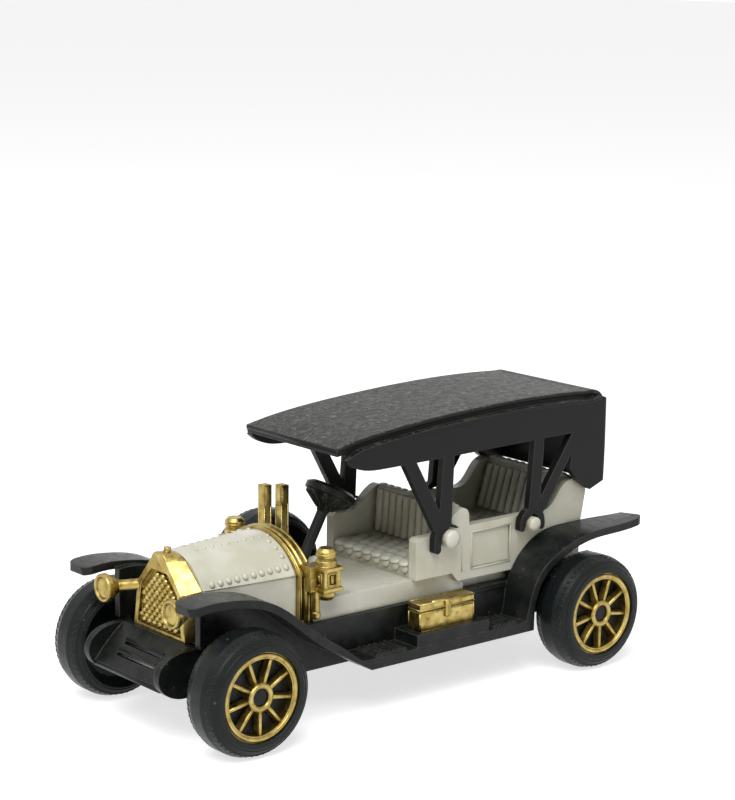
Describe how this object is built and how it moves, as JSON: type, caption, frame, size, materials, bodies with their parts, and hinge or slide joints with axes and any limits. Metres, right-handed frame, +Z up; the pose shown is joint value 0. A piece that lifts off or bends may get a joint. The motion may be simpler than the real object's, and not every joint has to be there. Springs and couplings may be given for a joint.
{
  "type": "toy vintage touring car",
  "caption": "Toy vintage touring car with a raised canopy, open seats, brass trim, side spare and spoked wheels that roll on two axles.",
  "frame": {"origin": "on the ground, midway along the overall length and width", "axes": "+X forward, +Y to the car's left, +Z up"},
  "size_m": [0.0756, 0.0344, 0.0361],
  "materials": {
    "black_plastic": "semi-gloss moulded",
    "canopy_plastic": "leather-grained moulded",
    "cast_paint": "gloss enamel on die-cast",
    "gold_plate": "vacuum plated, bright",
    "tyre_black": "satin soft plastic",
    "axle_steel": "plain"
  },
  "bodies": {
    "car": {"chassis": "black_plastic", "wings": "black_plastic", "body": "cast_paint", "radiator": "gold_plate", "scuttle_trim": "gold_plate", "canopy": "canopy_plastic", "steering": "black_plastic", "side_levers": "gold_plate", "toolbox": "gold_plate", "spare_tyre": "tyre_black", "spare_spokes": "gold_plate"},
    "front_wheelset": {"front_axle": "axle_steel", "front_left_tyre": "tyre_black", "front_left_spokes": "gold_plate", "front_right_tyre": "tyre_black", "front_right_spokes": "gold_plate"},
    "rear_wheelset": {"rear_axle": "axle_steel", "rear_left_tyre": "tyre_black", "rear_left_spokes": "gold_plate", "rear_right_tyre": "tyre_black", "rear_right_spokes": "gold_plate"}
  },
  "joints": [
    {"name": "front_wheels_roll", "type": "hinge", "parent": "car", "child": "front_wheelset", "pos_m": [0.02945, 0, 0.0076], "axis": [0, 1, 0], "continuous": true},
    {"name": "rear_wheels_roll", "type": "hinge", "parent": "car", "child": "rear_wheelset", "pos_m": [-0.02655, 0, 0.0076], "axis": [0, 1, 0], "continuous": true}
  ]
}
